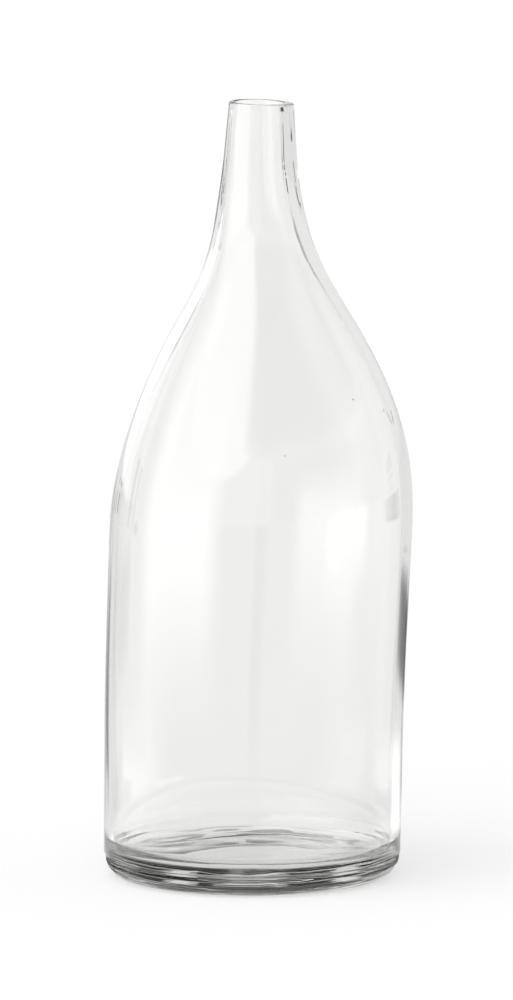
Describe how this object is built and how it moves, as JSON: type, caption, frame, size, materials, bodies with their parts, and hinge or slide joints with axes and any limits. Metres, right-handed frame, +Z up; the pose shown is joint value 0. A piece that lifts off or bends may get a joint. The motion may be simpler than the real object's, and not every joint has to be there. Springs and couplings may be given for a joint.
{
  "type": "carafe",
  "caption": "Hand-blown clear glass carafe with a heavy round foot, near-cylindrical belly, long sloping shoulder and slim open neck, for holding and pouring drinks.",
  "frame": {"origin": "on the standing plane, in the middle of the outer box of the carafe", "axes": "+Z up, from the foot to the mouth; +X is the side that the shoulder leans to and where the lip is thicker and lower; the picture was taken looking along +Y"},
  "size_m": [0.1192, 0.1166, 0.3004],
  "materials": {
    "clear_glass": "clear, smooth and glossy, fire-polished, with slight hand-blown waves"
  },
  "bodies": {
    "root": {"glass_body": "clear_glass"}
  },
  "joints": []
}
